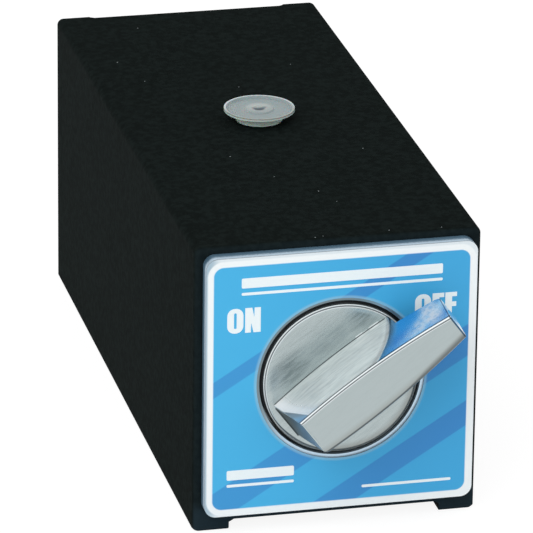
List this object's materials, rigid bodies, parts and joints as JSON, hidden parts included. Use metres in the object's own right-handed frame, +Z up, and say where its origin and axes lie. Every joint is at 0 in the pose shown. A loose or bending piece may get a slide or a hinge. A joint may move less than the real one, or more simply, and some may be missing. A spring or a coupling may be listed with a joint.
{
  "type": "switchable magnetic base",
  "caption": "Switchable magnetic base: black steel block with a tapped column hole and plug on top, and an ON/OFF lever knob on its printed front plate.",
  "frame": {"origin": "on the plane that the two feet stand on, under the middle of the object's bounding box", "axes": "+Z up, +Y from the knob towards the rear, +X to the right for someone who faces the knob"},
  "size_m": [0.05, 0.136, 0.0544],
  "materials": {
    "black_paint": "satin black with a fine grain",
    "plate_aluminium": "satin, bare edges",
    "label_print": "printed sheet, blue with a white border",
    "knob_metal": "plated die casting, satin on top and polished on the sides",
    "seal_rubber": "matte black",
    "brass": "machined",
    "bright_steel": "machined, oiled",
    "ferrite": "ground, dark grey",
    "plug_plastic": "pale grey, slightly translucent"
  },
  "bodies": {
    "block": {"left_pole": "black_paint", "right_pole": "black_paint", "top_spacer": "black_paint", "bottom_spacer": "black_paint", "front_plate": "plate_aluminium", "label_sheet": "label_print", "front_plate_screws": "bright_steel", "front_bush": "brass", "stop_pin": "bright_steel", "thrust_washer": "bright_steel", "spring_washer": "bright_steel", "rear_bush": "brass", "rear_cover": "black_paint", "rear_cover_screws": "bright_steel"},
    "switch": {"knob": "knob_metal", "knob_seal": "seal_rubber", "rotor_front_cap": "bright_steel", "rotor_rear_cap": "bright_steel", "rotor_magnet_front": "ferrite", "rotor_magnet_rear": "ferrite", "rotor_shoe_upper": "bright_steel", "rotor_shoe_lower": "bright_steel", "rotor_tie_screws": "bright_steel"},
    "plug": {"thread_plug": "plug_plastic"}
  },
  "joints": [
    {"name": "switch_turn", "type": "hinge", "parent": "block", "child": "switch", "pos_m": [0, -0.05305, 0.0277], "axis": [0, -1, 0], "range_deg": [0, 106]},
    {"name": "plug_lift", "type": "slide", "parent": "block", "child": "plug", "axis": [0, 0, 1], "range_m": [0, 0.03]}
  ]
}
